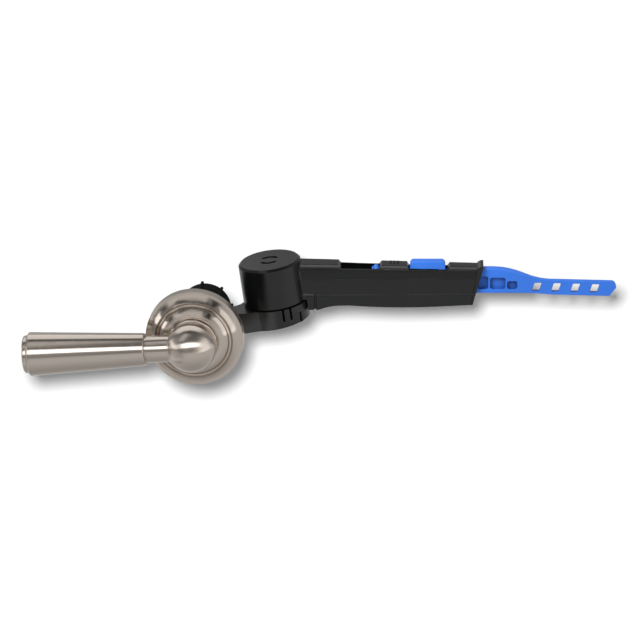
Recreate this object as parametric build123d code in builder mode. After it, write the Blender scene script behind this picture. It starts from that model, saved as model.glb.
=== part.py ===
from build123d import *
import os
from math import cos, radians, sin, sqrt, tan

# Cistern lever, millimetres. The origin is on the spindle axis, in the plane of the
# tank wall's outer face. +Y goes into the tank, +Z is up, the handle points to -X.

# Fits
running_fit = 0.1
seat_fit = 0.05
face_gap = 0.3

# Escutcheon
escutcheon_radius = 20.5
escutcheon_rim = 4.7
dome_radius = 16.3
dome_depth = 7.2
dome_bulge = 0.75
bead_radius = 14.6
bead_depth = 7.4
bead_bulge = 0.5
ring_radius = 11.3
ring_depth = 9.2
cove_depth = 0.5
escutcheon_wall = 1.8

# Handle
ball_radius = 10.5
ball_depth = 15.4
collar_radius = 10.2
collar_thickness = 1.3
neck_radius = 5.7
neck_blend = 1.2
groove_width = 0.7
groove_depth = 0.4
grip_start = 19.0
grip_root_radius = 6.8
grip_end = 67.8
grip_tip_radius = 9.2
grip_edge = 0.8
lip_radius = 7.9
lip_edge = 1.1
handle_length = 70.4
handle_rise = 2.7

# Spindle, its socket in the ball and the screw at its end
spindle_radius = 3.95
spindle_square = 5.5
spindle_chamfer = 0.5
socket_depth = 8.0
screw_radius = 1.75
screw_length = 9.0
screw_head_radius = 3.8
screw_head_height = 2.4
screw_drive_width = 1.0
screw_drive_depth = 1.2

# Shank and its nut
flange_radius = 14.0
flange_thickness = 3.4
flange_recess = 0.4
boss_radius = 8.6
neck_square = 15.4
neck_square_length = 6.0
thread_radius = 7.9
shank_end = 32.6
nut_setback = 0.3
nut_length = 11.0
nut_radius = 10.6
nut_rib_height = 1.0
nut_rib_width = 1.2
nut_ribs = 8
nut_edge = 0.6

# Crank
hub_radius = 7.0
hub_length = 7.6
crank_top = -2.8
crank_bottom = -12.4
crank_rise = 2.3
crank_end_radius = 13.9
crank_link_width = 4.7
crank_shoulder = 1.1
crank_clearance = 0.8
crank_blend = 5.0
crank_wall = 1.8
crank_deck = 2.2
finger_angles = (-69.0, -55.0, 20.0)
finger_slit = 0.9
finger_slot_angle = -35.0
finger_slot_drop = 3.2
finger_slot_height = 4.0

# Drum of the swivel arm and the post that it turns on
drum_x = 27.9
drum_y = 40.0
drum_radius = 13.1
drum_top = 15.4
drum_gap = 0.4
drum_bevel = 0.9
drum_wall = 1.7
drum_roof = 1.8
drum_ribs = 6
drum_rib_width = 1.2
post_radius = 5.0
post_bore = 3.0
post_top = 8.2
post_hook = 0.7
post_hook_height = 2.0
post_slit = 1.4
tube_wall = 1.9
roof_slot_radius = 3.6
roof_slot_width = 0.9
roof_slot_arc = 100.0

# Arm: swung back and drooping from the drum
arm_swing = 7.5
arm_droop = 8.0
arm_root = 12.0
arm_mouth = 87.5
arm_rake = 15.0
arm_root_width = 10.3
arm_mouth_width = 7.4
arm_root_top = 14.7
arm_mouth_top = 13.1
arm_bottom = -3.6
arm_waist = 36.0
arm_belly = 0.65
belly_middle = 59.0
mouth_lift = 0.45
mouth_slope = 2.5
arm_wall = 1.25
arm_floor = 1.3
arm_edge = 1.7
skirt_top = 1.95
skirt_proud = 0.35
shoulder_height = 8.6
shoulder_inset = 0.25
root_drop = 5.1
root_gap = 0.5
root_post = 2.3
root_groove = 0.9
root_groove_depth = 1.2
root_blend = 6.0
lip_length = 2.4
lip_proud = 0.6
skirt_ribs = 5
skirt_rib_width = 1.2

# Windows in the arm's top
window_start = 28.0
window_length = 16.0
window_pitch = 28.5
window_notch = 1.4
window_slope = 0.9
bridge_ribs = 3
bridge_rib_pitch = 1.5
bridge_rib_height = 0.35
bridge_rib_width = 0.7
bridge_rib_length = 2.2
bridge_rib_offset = 1.2

# Extension bar
bar_thickness = 4.3
bar_top = 11.8
bar_bottom = 1.3
bar_tail = 40.9
tail_bottom = 0.0
tail_end = 77.7
bar_shoulder = 91.7
strip_start = 116.7
strip_thickness = 2.4
strip_top = 6.6
strip_height = 6.4
strip_fall = 1.5
thin_start = 102.7
thin_end = 108.2
bar_tip = 143.4
tip_slant = 3.0
tip_shoulder = 2.4
tip_round = 1.2
tip_corner = 1.8
chain_holes = 4
chain_hole_start = 110.0
chain_hole_pitch = 8.06
chain_hole_width = 3.2
chain_hole_height = 3.7
chain_hole_lean = 18.0
chain_hole_round = 0.5
pockets = ((79.3, 84.2, 8.6), (85.0, 89.6, 8.6), (90.4, 96.8, 8.0), (97.5, 101.7, 6.5))
pocket_web = 1.0
pocket_rail = 1.7
pocket_round = 0.9

# Latch: leaf, button and the barrel that it turns on
barrel_radius = 1.3
barrel_length = 6.0
barrel_ear = 0.5
barrel_rise = 0.7
button_play = 0.4
button_heel_gap = 0.9
button_proud = 1.5
button_width = 4.9
button_bevel = 1.0
button_wall = 1.2
button_foot = 1.6
leaf_thickness = 1.1
latch_travel = 13.0
latch_clearance = 0.4

# Places worked out from the sizes above
collar_back = -ring_depth - face_gap
nut_back = shank_end - nut_setback
nut_front = nut_back - nut_length
nut_rib_radius = nut_radius + nut_rib_height
hub_front = shank_end + face_gap
hub_back = hub_front + hub_length
spindle_tip = hub_back - face_gap
drum_bottom = crank_top + drum_gap
barrel_s = bar_tail + barrel_ear + barrel_radius
barrel_u = bar_top + barrel_rise - barrel_radius
swing = radians(arm_swing)
droop = radians(arm_droop)
handle_axis = (-cos(radians(handle_rise)), 0, sin(radians(handle_rise)))
along_arm = (cos(swing) * cos(droop), sin(swing) * cos(droop), -sin(droop))
across_arm = (-sin(swing), cos(swing), 0)
up_arm = (cos(swing) * sin(droop), sin(swing) * sin(droop), cos(droop))
drum_centre = (drum_x, drum_y, 0)
drum_axis = Axis(drum_centre, (0, 0, 1))
arm_side = Plane(drum_centre, x_dir=along_arm, z_dir=(sin(swing), -cos(swing), 0))
arm_plan = Plane(drum_centre, x_dir=along_arm, z_dir=up_arm)
arm_cross = Plane(drum_centre, x_dir=across_arm, z_dir=along_arm)
plenty = 4 * drum_radius


def arm_share(s):
    return (s - arm_root) / (arm_mouth - arm_root)


def arm_width(s):
    return arm_root_width + (arm_mouth_width - arm_root_width) * arm_share(s)


def arm_top(s):
    return arm_root_top + (arm_mouth_top - arm_root_top) * arm_share(s)


def mouth_line(u, back=0.0):
    return arm_mouth - back - (arm_mouth_top - u) * tan(radians(arm_rake))


os.makedirs("parts", exist_ok=True)

# Escutcheon: domed rim, bead and coved ring, hollow behind for the shank's flange
with BuildPart() as escutcheon:
    with BuildSketch(Plane.XY):
        with BuildLine():
            Line((ring_radius - escutcheon_wall, -ring_depth), (ring_radius, -ring_depth))
            SagittaArc((ring_radius, -ring_depth), (bead_radius, -bead_depth), -cove_depth)
            SagittaArc((bead_radius, -bead_depth), (dome_radius, -dome_depth), bead_bulge)
            SagittaArc((dome_radius, -dome_depth), (escutcheon_radius, -escutcheon_rim), dome_bulge)
            Polyline(
                (escutcheon_radius, -escutcheon_rim),
                (escutcheon_radius, 0),
                (flange_radius + seat_fit, 0),
                (flange_radius + seat_fit, -flange_thickness - flange_recess),
                (boss_radius + seat_fit, -flange_thickness - flange_recess),
                (boss_radius + seat_fit, -ring_depth),
                (ring_radius - escutcheon_wall, -ring_depth),
            )
        make_face()
    revolve(axis=Axis.Y)
escutcheon.part.label = "escutcheon"
export_step(escutcheon.part, "parts/escutcheon.step")

# Handle: ball, neck and grip turned about the handle's axis, collar turned about the spindle's
ball_centre = (0, -ball_depth, 0)
blend_reach = sqrt((ball_radius + neck_blend) ** 2 - (neck_radius + neck_blend) ** 2)
blend_share = ball_radius / (ball_radius + neck_blend)
ball_end = (blend_reach * blend_share, (neck_radius + neck_blend) * blend_share)
with BuildPart() as handle:
    with BuildSketch(Plane(ball_centre, x_dir=handle_axis, z_dir=(0, -1, 0))) as profile:
        with BuildLine():
            ThreePointArc((-ball_radius, 0), (0, ball_radius), ball_end)
            RadiusArc(ball_end, (blend_reach, neck_radius), neck_blend)
            Polyline(
                (blend_reach, neck_radius),
                (grip_start - groove_width, neck_radius),
                (grip_start - groove_width, neck_radius - groove_depth),
                (grip_start, neck_radius - groove_depth),
                (grip_start, grip_root_radius),
                (grip_end, grip_tip_radius),
                (grip_end + grip_edge, lip_radius),
                (handle_length, lip_radius),
                (handle_length, 0),
                (-ball_radius, 0),
            )
        make_face()
        corners = profile.vertices()
        fillet(corners.sort_by_distance((grip_end, grip_tip_radius))[0], grip_edge)
        fillet(corners.sort_by_distance((grip_start, grip_root_radius))[0], grip_edge)
        fillet(corners.sort_by_distance((handle_length, lip_radius))[0], lip_edge)
    revolve(axis=Axis(ball_centre, handle_axis))
    with BuildSketch(Plane.XZ.offset(-collar_back)):
        Circle(collar_radius)
    extrude(amount=-ball_radius, mode=Mode.SUBTRACT)
    with BuildSketch(Plane.XZ.offset(-collar_back)):
        Circle(collar_radius)
    extrude(amount=collar_thickness)
    with BuildSketch(Plane.XZ.offset(-collar_back)):
        Circle(spindle_radius + seat_fit)
    extrude(amount=socket_depth, mode=Mode.SUBTRACT)
handle.part.label = "handle"
export_step(handle.part, "parts/handle.step")

# Spindle: round journal with a square end, drilled for the screw
with BuildPart() as spindle:
    with BuildSketch(Plane.XZ.offset(-hub_front)):
        Circle(spindle_radius)
    extrude(amount=hub_front - collar_back + socket_depth - face_gap)
    with BuildSketch(Plane.XZ.offset(-hub_front)):
        Rectangle(spindle_square, spindle_square)
    extrude(amount=hub_front - spindle_tip)
    chamfer(spindle.edges().group_by(Axis.Y)[0], spindle_chamfer)
    with BuildSketch(Plane.XZ.offset(-spindle_tip)):
        Circle(screw_radius + seat_fit)
    extrude(amount=screw_length, mode=Mode.SUBTRACT)
spindle.part.label = "spindle"
export_step(spindle.part, "parts/spindle.step")

# Shank: flange and boss inside the escutcheon, square neck, threaded sleeve
with BuildPart() as shank:
    with BuildSketch(Plane.XY):
        with BuildLine():
            Polyline(
                (spindle_radius + running_fit, -ring_depth + face_gap),
                (boss_radius, -ring_depth + face_gap),
                (boss_radius, -flange_thickness - flange_recess),
                (flange_radius, -flange_thickness - flange_recess),
                (flange_radius, -flange_recess),
                (thread_radius, -flange_recess),
                (thread_radius, shank_end),
                (spindle_radius + running_fit, shank_end),
                close=True,
            )
        make_face()
    revolve(axis=Axis.Y)
    with BuildSketch(Plane.XZ.offset(flange_recess)):
        Rectangle(neck_square, neck_square)
        Circle(thread_radius, mode=Mode.SUBTRACT)
    extrude(amount=-neck_square_length - flange_recess)
    end_edges = shank.edges().group_by(Axis.Y)[-1]
    chamfer(end_edges.sort_by(SortBy.RADIUS)[-1], nut_edge)
shank.part.label = "shank"
export_step(shank.part, "parts/shank.step")

# Mounting nut: plain bore for the thread, thin grip ribs round the outside
with BuildPart() as mounting_nut:
    with BuildSketch(Plane.XZ.offset(-nut_front)):
        Circle(nut_radius)
    extrude(amount=-nut_length)
    chamfer(mounting_nut.edges().group_by(Axis.Y)[-1], nut_edge)
    with BuildSketch(Plane.XZ.offset(-nut_front)):
        with PolarLocations(nut_radius, nut_ribs, start_angle=90):
            RectangleRounded(2 * nut_rib_height, nut_rib_width, nut_rib_width / 3)
    extrude(amount=nut_edge - nut_length)
    with BuildSketch(Plane.XZ.offset(-nut_front)):
        Circle(thread_radius + seat_fit)
    extrude(amount=-nut_length, mode=Mode.SUBTRACT)
mounting_nut.part.label = "mounting_nut"
export_step(mounting_nut.part, "parts/mounting_nut.step")

# Crank: hub on the spindle's square, cored plate, round end with spring fingers, snap post
crank_height = crank_top - crank_bottom
link_back = hub_front + crank_link_width
block_start = nut_rib_radius + crank_clearance
block_front = drum_y - crank_end_radius + crank_shoulder
wedge_end = drum_x + plenty
wedge_rise = crank_rise * (wedge_end - hub_radius) / (drum_x + crank_end_radius - hub_radius)
with BuildPart() as crank:
    with BuildSketch(Plane.XY.offset(crank_bottom)) as outline:
        with BuildLine():
            Polyline(
                (-hub_radius, hub_front),
                (block_start, hub_front),
                (block_start, block_front),
                (drum_x, block_front),
                (drum_x, link_back),
                (-hub_radius, link_back),
                close=True,
            )
        make_face()
        with Locations((drum_x, drum_y)):
            Circle(crank_end_radius)
        fillet(outline.vertices().sort_by_distance((drum_x - crank_end_radius, link_back))[0], crank_blend)
        fillet(outline.vertices().group_by(Axis.X)[0], crank_wall)
        fillet(outline.vertices().sort_by_distance((block_start, block_front))[0], crank_wall)
        fillet(outline.vertices().sort_by_distance((block_start, hub_front))[0], crank_wall)
    extrude(amount=crank_height)
    with BuildSketch(Plane.XY.offset(crank_top)):
        with Locations((drum_x, drum_y)):
            Circle(crank_end_radius - crank_wall)
    extrude(amount=crank_deck + crank_rise - crank_height, mode=Mode.SUBTRACT)
    with BuildSketch(Plane.XY.offset(crank_bottom)):
        with Locations((drum_x, drum_y)):
            Circle(post_radius)
    extrude(amount=post_top - crank_bottom)
    with BuildSketch(Plane.XZ.offset(-hub_front)):
        Circle(hub_radius)
    extrude(amount=-hub_length)
    with BuildSketch(Plane.XZ):
        with BuildLine():
            Polyline(
                (hub_radius, crank_bottom),
                (wedge_end, crank_bottom),
                (wedge_end, crank_bottom + wedge_rise),
                close=True,
            )
        make_face()
    extrude(amount=-3 * plenty, mode=Mode.SUBTRACT)
    with BuildSketch(Plane.XZ.offset(-drum_y)):
        with BuildLine():
            Polyline(
                (drum_x + post_bore, post_top),
                (drum_x + post_radius, post_top),
                (drum_x + post_radius + post_hook, post_top),
                (drum_x + post_radius + post_hook, post_top + post_hook),
                (drum_x + post_radius, post_top + post_hook_height),
                (drum_x + post_bore, post_top + post_hook_height),
                close=True,
            )
        make_face()
    revolve(axis=drum_axis)
    with BuildSketch(Plane.XY.offset(crank_bottom)):
        with Locations((drum_x, drum_y)):
            Circle(post_bore)
    extrude(amount=post_top + post_hook_height - crank_bottom, mode=Mode.SUBTRACT)
    with BuildSketch(Plane.XY.offset(crank_top)):
        with Locations((drum_x, drum_y)):
            Rectangle(3 * post_radius, post_slit)
            Rectangle(post_slit, 3 * post_radius)
    extrude(amount=plenty, mode=Mode.SUBTRACT)
    for angle in finger_angles:
        with BuildSketch(Plane.XY.offset(crank_top)):
            with Locations((drum_x, drum_y)):
                with PolarLocations(crank_end_radius, 1, start_angle=angle):
                    Rectangle(3 * crank_wall, finger_slit)
        extrude(amount=crank_deck + crank_rise - crank_height, mode=Mode.SUBTRACT)
    with BuildSketch(Plane.XY.offset(crank_top - finger_slot_drop)):
        with Locations((drum_x, drum_y)):
            with PolarLocations(crank_end_radius, 1, start_angle=finger_slot_angle):
                Rectangle(3 * crank_wall, finger_slit)
    extrude(amount=-finger_slot_height, mode=Mode.SUBTRACT)
    with BuildSketch(Plane.XZ.offset(-hub_front)):
        Rectangle(spindle_square + 2 * seat_fit, spindle_square + 2 * seat_fit)
    extrude(amount=-hub_length, mode=Mode.SUBTRACT)
crank.part.label = "crank"
export_step(crank.part, "parts/crank.step")

# Crank screw: pan head with a slot, shank in the spindle's end
with BuildPart() as crank_screw:
    with BuildSketch(Plane.XZ.offset(-hub_back)):
        Circle(screw_head_radius)
    extrude(amount=-screw_head_height)
    chamfer(crank_screw.edges().group_by(Axis.Y)[-1], screw_head_height / 3)
    with BuildSketch(Plane.XZ.offset(-hub_back)):
        Circle(screw_radius)
    extrude(amount=screw_length)
    with BuildSketch(Plane.XZ.offset(-hub_back - screw_head_height)):
        Rectangle(3 * screw_head_radius, screw_drive_width)
    extrude(amount=screw_drive_depth, mode=Mode.SUBTRACT)
crank_screw.part.label = "crank_screw"
export_step(crank_screw.part, "parts/crank_screw.step")

# Swivel arm: hollow drum and tapered arm in one moulding
root_start = crank_end_radius + root_gap
root_end = root_start + root_post + root_groove
channel_top = bar_top + face_gap
channel_bottom = tail_bottom - face_gap
floor_bottom = channel_bottom - arm_floor
mouth_bottom = arm_bottom + mouth_lift
with BuildPart() as swivel_arm:
    for s in (0.0, arm_mouth):
        half = arm_width(s) / 2
        with BuildSketch(arm_cross.offset(s)) as section:
            with BuildLine():
                Polyline(
                    (0, -root_drop),
                    (half + skirt_proud, -root_drop),
                    (half + skirt_proud, skirt_top),
                    (half, skirt_top),
                    (half, shoulder_height),
                    (half - shoulder_inset, shoulder_height),
                    (half - shoulder_inset, arm_top(s)),
                    (0, arm_top(s)),
                    close=True,
                )
            make_face()
            fillet(section.vertices().sort_by_distance((half, arm_top(s)))[0], arm_edge)
            mirror(about=Plane.YZ)
    loft(ruled=True)
    with BuildSketch(arm_side):
        with BuildLine():
            Spline(
                (root_end, -root_drop),
                (root_end + root_blend / 2, (arm_bottom - root_drop) / 2),
                (root_end + root_blend, arm_bottom),
                (arm_waist, arm_bottom),
                (belly_middle, arm_bottom - arm_belly),
                (arm_mouth, mouth_bottom),
                tangents=((1, 0), (1, tan(radians(mouth_slope)))),
            )
            Polyline(
                (arm_mouth, mouth_bottom),
                (arm_mouth, -plenty),
                (root_end, -plenty),
                (root_end, -root_drop),
            )
        make_face()
    extrude(amount=plenty, both=True, mode=Mode.SUBTRACT)
    with BuildSketch(Plane.XY.offset(drum_bottom)):
        with Locations((drum_x, drum_y)):
            Circle(root_start)
    extrude(amount=-plenty, mode=Mode.SUBTRACT)
    skirt_half = arm_width(root_end) / 2 + skirt_proud
    with BuildSketch(arm_plan.offset(skirt_top)):
        groove_middle = root_end - root_groove / 2
        with Locations((groove_middle, skirt_half), (groove_middle, -skirt_half)):
            Rectangle(root_groove, 2 * root_groove_depth)
    extrude(amount=-plenty, mode=Mode.SUBTRACT)
    lip_half = arm_width(arm_mouth) / 2 + lip_proud
    with BuildSketch(arm_side) as lip:
        with BuildLine():
            Polyline(
                (mouth_line(mouth_bottom, lip_length / 3), mouth_bottom),
                (mouth_line(mouth_bottom), mouth_bottom),
                (mouth_line(arm_mouth_top + lip_proud), arm_mouth_top + lip_proud),
                (mouth_line(arm_mouth_top + lip_proud, lip_length / 2), arm_mouth_top + lip_proud),
                (mouth_line(arm_mouth_top, lip_length), arm_mouth_top),
                close=True,
            )
        make_face()
        fillet(lip.vertices().sort_by(Axis.Y)[-2:], lip_proud / 2)
    extrude(amount=lip_half, both=True)
    with BuildSketch(arm_side):
        with BuildLine():
            Polyline(
                (mouth_line(-plenty), -plenty),
                (mouth_line(plenty), plenty),
                (mouth_line(plenty) + plenty, plenty),
                (mouth_line(plenty) + plenty, -plenty),
                close=True,
            )
        make_face()
    extrude(amount=plenty, both=True, mode=Mode.SUBTRACT)
    with BuildSketch(Plane.XZ.offset(-drum_y)):
        with BuildLine():
            Polyline(
                (drum_x, drum_bottom),
                (drum_x + drum_radius, drum_bottom),
                (drum_x + drum_radius, drum_top - drum_bevel),
                (drum_x + drum_radius - drum_bevel, drum_top),
                (drum_x, drum_top),
                close=True,
            )
        make_face()
    revolve(axis=drum_axis)
    tail_room = bar_tail - window_pitch - face_gap
    window_end = window_start + window_length
    for s in (tail_room, arm_mouth + lip_length):
        with BuildSketch(arm_cross.offset(s)):
            with Locations((0, (channel_top + channel_bottom) / 2)):
                Rectangle(arm_width(s) - 2 * arm_wall, channel_top - channel_bottom)
    loft(ruled=True, mode=Mode.SUBTRACT)
    with BuildSketch(arm_plan.offset(bar_top)):
        with Locations(((tail_room + window_end) / 2, 0)):
            Rectangle(window_end - tail_room, arm_width(window_end) - 2 * arm_wall)
    extrude(amount=barrel_rise + face_gap, mode=Mode.SUBTRACT)
    skirt_start = root_end + arm_wall
    for s in (skirt_start, arm_mouth):
        with BuildSketch(arm_cross.offset(s)):
            with Locations((0, floor_bottom - plenty / 2)):
                Rectangle(arm_width(s) - 2 * arm_wall, plenty)
    loft(ruled=True, mode=Mode.SUBTRACT)
    with BuildSketch(Plane.XY.offset(drum_bottom)):
        with Locations((drum_x, drum_y)):
            Circle(drum_radius - drum_wall)
    extrude(amount=drum_top - drum_roof - drum_bottom, mode=Mode.SUBTRACT)
    with BuildSketch(Plane.XY.offset(drum_top - drum_roof)):
        with Locations((drum_x, drum_y)):
            with PolarLocations(0, drum_ribs, start_angle=arm_swing):
                with Locations(((drum_radius + post_radius) / 2, 0)):
                    Rectangle(drum_radius - post_radius - drum_wall, drum_rib_width)
    extrude(amount=drum_bottom + drum_wall - drum_top + drum_roof)
    with BuildSketch(Plane.XY.offset(drum_bottom)):
        with Locations((drum_x, drum_y)):
            Circle(post_radius + running_fit + tube_wall)
    extrude(amount=drum_top - drum_roof - drum_bottom)
    with BuildSketch(Plane.XY.offset(drum_bottom)):
        with Locations((drum_x, drum_y)):
            Circle(post_radius + running_fit)
    extrude(amount=drum_top - drum_roof - drum_bottom, mode=Mode.SUBTRACT)
    with BuildSketch(Plane.XY.offset(post_top - face_gap)):
        with Locations((drum_x, drum_y)):
            Circle(post_radius + post_hook + face_gap)
    extrude(amount=drum_top - drum_roof - post_top + face_gap, mode=Mode.SUBTRACT)
    for turn in (90, 270):
        with BuildSketch(Plane.XY.offset(drum_top)):
            first = turn - roof_slot_arc / 2
            path = CenterArc((drum_x, drum_y), roof_slot_radius, first, roof_slot_arc, mode=Mode.PRIVATE)
            SlotArc(path, roof_slot_width)
        extrude(amount=-drum_roof, mode=Mode.SUBTRACT)
    for start in (window_start, window_start + window_pitch):
        end = start + window_length
        with BuildSketch(arm_side):
            with BuildLine():
                Polyline(
                    (start - window_slope, arm_top(start)),
                    (start, arm_top(start) - window_notch),
                    (end, arm_top(end) - window_notch),
                    (end + window_slope, arm_top(end)),
                    (end + window_slope, plenty),
                    (start - window_slope, plenty),
                    close=True,
                )
            make_face()
        extrude(amount=plenty, both=True, mode=Mode.SUBTRACT)
        with BuildSketch(arm_plan.offset(channel_bottom + arm_wall)):
            with Locations(((start + end) / 2, 0)):
                Rectangle(window_length, arm_width(end) - 2 * arm_wall)
        extrude(amount=plenty, mode=Mode.SUBTRACT)
    bridge_middle = window_start + (window_pitch + window_length) / 2
    for i in range(bridge_ribs):
        s = bridge_middle + (i - (bridge_ribs - 1) / 2) * bridge_rib_pitch
        with BuildSketch(arm_plan.offset(channel_top)):
            with Locations((s, bridge_rib_offset)):
                Rectangle(bridge_rib_width, bridge_rib_length)
        extrude(amount=arm_top(s) + bridge_rib_height - channel_top)
    for i in range(skirt_ribs):
        s = skirt_start + (i + 1) * (mouth_line(arm_bottom) - skirt_start) / (skirt_ribs + 1)
        with BuildSketch(arm_plan.offset(floor_bottom)):
            with Locations((s, 0)):
                Rectangle(skirt_rib_width, arm_width(s) - arm_wall)
        extrude(amount=arm_bottom + arm_floor - floor_bottom)
swivel_arm.part.label = "swivel_arm"
export_step(swivel_arm.part, "parts/swivel_arm.step")

# Extension bar: tail with the latch's seat and relief, pocketed body, strip with chain holes
leaf_half = leaf_thickness / 2
button_start = window_start + window_pitch + button_play
button_end = window_start + window_pitch + window_length - button_heel_gap
relief_end = button_end + button_foot + latch_clearance
press = radians(latch_travel)
relief_drop = (leaf_half + latch_clearance) / cos(press)


def relief(s):
    return barrel_u - (s - barrel_s) * tan(press) - relief_drop


def strip_line(s, height):
    return height - (s - strip_start) * tan(radians(strip_fall))


with BuildPart() as extension_bar:
    with BuildSketch(arm_side) as profile:
        with BuildLine():
            Polyline(
                (bar_shoulder, bar_top),
                (relief_end, bar_top),
                (relief_end, relief(relief_end)),
                (barrel_s + barrel_radius, relief(barrel_s + barrel_radius)),
                (barrel_s, relief(barrel_s + barrel_radius)),
                (barrel_s, barrel_u + barrel_radius / 2),
                (bar_tail, barrel_u + barrel_radius / 2),
                (bar_tail, tail_bottom),
                (tail_end, tail_bottom),
                (tail_end + bar_bottom - tail_bottom, bar_bottom),
                (thin_start, bar_bottom),
                (strip_start, strip_top - strip_height),
                (bar_tip - tip_slant, strip_line(bar_tip - tip_slant, strip_top - strip_height)),
                (bar_tip, strip_line(bar_tip, strip_top - tip_shoulder)),
                (bar_tip - tip_shoulder / 2, strip_line(bar_tip - tip_shoulder / 2, strip_top)),
                (strip_start, strip_top),
            )
            Spline((strip_start, strip_top), (bar_shoulder, bar_top), tangents=((-1, 0), (-1, 0)))
        make_face()
        fillet(profile.vertices().sort_by(Axis.X)[-2], tip_corner)
        fillet(profile.vertices().sort_by(Axis.X)[-1], tip_round)
    extrude(amount=bar_thickness / 2, both=True)
    with BuildSketch(arm_side):
        with Locations((barrel_s, barrel_u)):
            Circle(barrel_radius + seat_fit)
    extrude(amount=bar_thickness, both=True, mode=Mode.SUBTRACT)
    with BuildSketch(arm_plan.offset(-plenty)):
        with BuildLine():
            Polyline(
                (thin_start, bar_thickness / 2),
                (thin_end, strip_thickness / 2),
                (bar_tip + plenty, strip_thickness / 2),
                (bar_tip + plenty, plenty),
                (thin_start, plenty),
                close=True,
            )
        make_face()
        mirror(about=Plane.XZ)
    extrude(amount=2 * plenty, mode=Mode.SUBTRACT)
    for i in range(chain_holes):
        s = chain_hole_start + i * chain_hole_pitch
        lean = chain_hole_height / 2 * tan(radians(chain_hole_lean))
        with BuildSketch(arm_side) as hole:
            with Locations((s, strip_line(s, strip_top - strip_height / 2))):
                Polygon(
                    (-chain_hole_width / 2 - lean, -chain_hole_height / 2),
                    (chain_hole_width / 2 - lean, -chain_hole_height / 2),
                    (chain_hole_width / 2 + lean, chain_hole_height / 2),
                    (-chain_hole_width / 2 + lean, chain_hole_height / 2),
                    align=None,
                )
            fillet(hole.vertices(), chain_hole_round)
        extrude(amount=bar_thickness, both=True, mode=Mode.SUBTRACT)
    for side in (arm_side, Plane(drum_centre, x_dir=along_arm, z_dir=across_arm)):
        flip = 1 if side is arm_side else -1
        for start, end, top in pockets:
            with BuildSketch(side.offset(pocket_web / 2)) as pocket:
                with BuildLine():
                    Polyline(
                        (start, flip * (bar_bottom + pocket_rail)),
                        (end, flip * (bar_bottom + pocket_rail)),
                        (end, flip * top),
                        (start, flip * top),
                        close=True,
                    )
                make_face()
                fillet(pocket.vertices(), pocket_round)
            extrude(amount=bar_thickness, mode=Mode.SUBTRACT)
extension_bar.part.label = "extension_bar"
export_step(extension_bar.part, "parts/extension_bar.step")

# Latch: barrel in the bar's seat, spring leaf, cored button with a foot under the window's end
button_top = arm_top((button_start + button_end) / 2) + button_proud
leaf_top = barrel_u + leaf_half
with BuildPart() as latch_button:
    with BuildSketch(arm_side):
        with Locations((barrel_s, barrel_u)):
            Circle(barrel_radius)
    extrude(amount=barrel_length / 2, both=True)
    with BuildSketch(arm_side) as profile:
        with BuildLine():
            Polyline(
                (barrel_s, barrel_u - leaf_half),
                (button_end + button_foot, barrel_u - leaf_half),
                (button_end + button_foot, leaf_top),
                (button_end, leaf_top),
                (button_end, button_top),
                (button_start, button_top),
                (button_start, leaf_top),
                (barrel_s, leaf_top),
                close=True,
            )
        make_face()
        chamfer(profile.vertices().group_by(Axis.Y)[-1], button_bevel)
    extrude(amount=button_width / 2, both=True)
    with BuildSketch(arm_side):
        with BuildLine():
            Polyline(
                (button_start + button_wall, barrel_u - leaf_thickness),
                (button_start + button_wall, button_top - button_wall),
                (button_end - button_wall, button_top - button_wall),
                (button_end - button_wall, barrel_u - leaf_thickness),
                close=True,
            )
        make_face()
    extrude(amount=button_width / 2 - button_wall, both=True, mode=Mode.SUBTRACT)
latch_button.part.label = "latch_button"
export_step(latch_button.part, "parts/latch_button.step")
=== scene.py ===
import bmesh
import bpy
from math import atan2, cos, pi, radians, sin, sqrt, tan
from mathutils import Matrix, Vector


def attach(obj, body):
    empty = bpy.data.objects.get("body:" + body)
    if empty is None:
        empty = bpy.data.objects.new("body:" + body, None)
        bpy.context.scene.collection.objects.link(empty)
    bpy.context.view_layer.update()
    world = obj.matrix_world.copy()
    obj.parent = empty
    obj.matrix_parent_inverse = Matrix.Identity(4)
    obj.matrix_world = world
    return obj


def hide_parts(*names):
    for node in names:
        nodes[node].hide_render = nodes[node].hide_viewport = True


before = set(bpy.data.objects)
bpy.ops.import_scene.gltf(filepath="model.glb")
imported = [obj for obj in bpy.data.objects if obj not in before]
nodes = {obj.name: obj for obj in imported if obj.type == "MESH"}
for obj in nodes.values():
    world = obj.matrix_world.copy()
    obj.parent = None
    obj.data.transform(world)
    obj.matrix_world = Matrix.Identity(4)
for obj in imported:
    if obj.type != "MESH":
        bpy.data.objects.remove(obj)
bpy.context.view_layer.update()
mm = 0.001

# photo's viewing angle, taken from the spindle axis at the tank wall
camSetup = dict(azimuth=10.4, elevation=20.0, roll=8.5, pixelsPerMm=2.4, imageSize=640.0,
                centre=(195.9, 334.2), distance=6.0, sensor=36.0)


def skyDirection(azimuth, elevation):
    az, el = radians(azimuth), radians(elevation)
    return Vector((sin(az) * cos(el), -cos(az) * cos(el), sin(el)))


def levelRight(azimuth):
    return Vector((cos(radians(azimuth)), sin(radians(azimuth)), 0))


def viewAxes(setup):
    roll = radians(setup["roll"])
    toward = skyDirection(setup["azimuth"], setup["elevation"])
    level = levelRight(setup["azimuth"])
    upright = toward.cross(level)
    right = level * cos(roll) - upright * sin(roll)
    up = level * sin(roll) + upright * cos(roll)
    return right, up, toward


camRight, camUp, camToward = viewAxes(camSetup)


def facing(right, up, toward, place):
    turn = Matrix((right, up, toward)).transposed()
    return Matrix.Translation(place) @ turn.to_4x4()


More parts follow.
